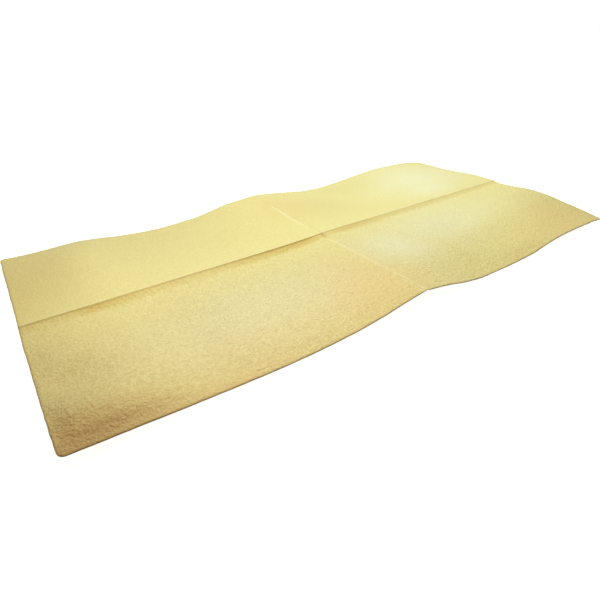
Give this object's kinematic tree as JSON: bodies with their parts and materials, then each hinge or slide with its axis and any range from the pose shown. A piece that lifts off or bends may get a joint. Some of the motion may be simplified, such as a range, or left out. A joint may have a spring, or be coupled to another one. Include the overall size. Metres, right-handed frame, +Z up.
{
  "type": "dust cloth",
  "caption": "Rectangular dust cloth of soft yellow needle felt, opened out of a quarter fold; panels swing on the pressed creases to fold it in half lengthwise and crosswise.",
  "frame": {"origin": "on the surface the cloth lies on, under the middle of the sheet where the creases cross", "axes": "+X along the cloth's length and the long crease, +Y across its width along the cross crease, +Z up"},
  "size_m": [0.6, 0.3, 0.0176],
  "materials": {
    "felt": "matte pale yellow needle felt with fine dimples"
  },
  "bodies": {
    "rear_left": {"rear_left_panel": "felt"},
    "rear_right": {"rear_right_panel": "felt"},
    "front_left": {"front_left_panel": "felt"},
    "front_right": {"front_right_panel": "felt"}
  },
  "joints": [
    {"name": "cross_crease_rear", "type": "hinge", "parent": "rear_left", "child": "rear_right", "pos_m": [0, 0.075, 0.01415], "axis": [0, -1, 0], "range_deg": [0, 180]},
    {"name": "long_crease_left", "type": "hinge", "parent": "rear_left", "child": "front_left", "pos_m": [-0.15, 0, 0.01485], "axis": [-1, 0, 0], "range_deg": [0, 145]},
    {"name": "cross_crease_front", "type": "hinge", "parent": "front_left", "child": "front_right", "pos_m": [0, -0.075, 0.01415], "axis": [0, -1, 0], "range_deg": [0, 180]}
  ],
  "couplings": [
    {"joint": "cross_crease_front", "follows": "cross_crease_rear", "ratio": 1}
  ]
}
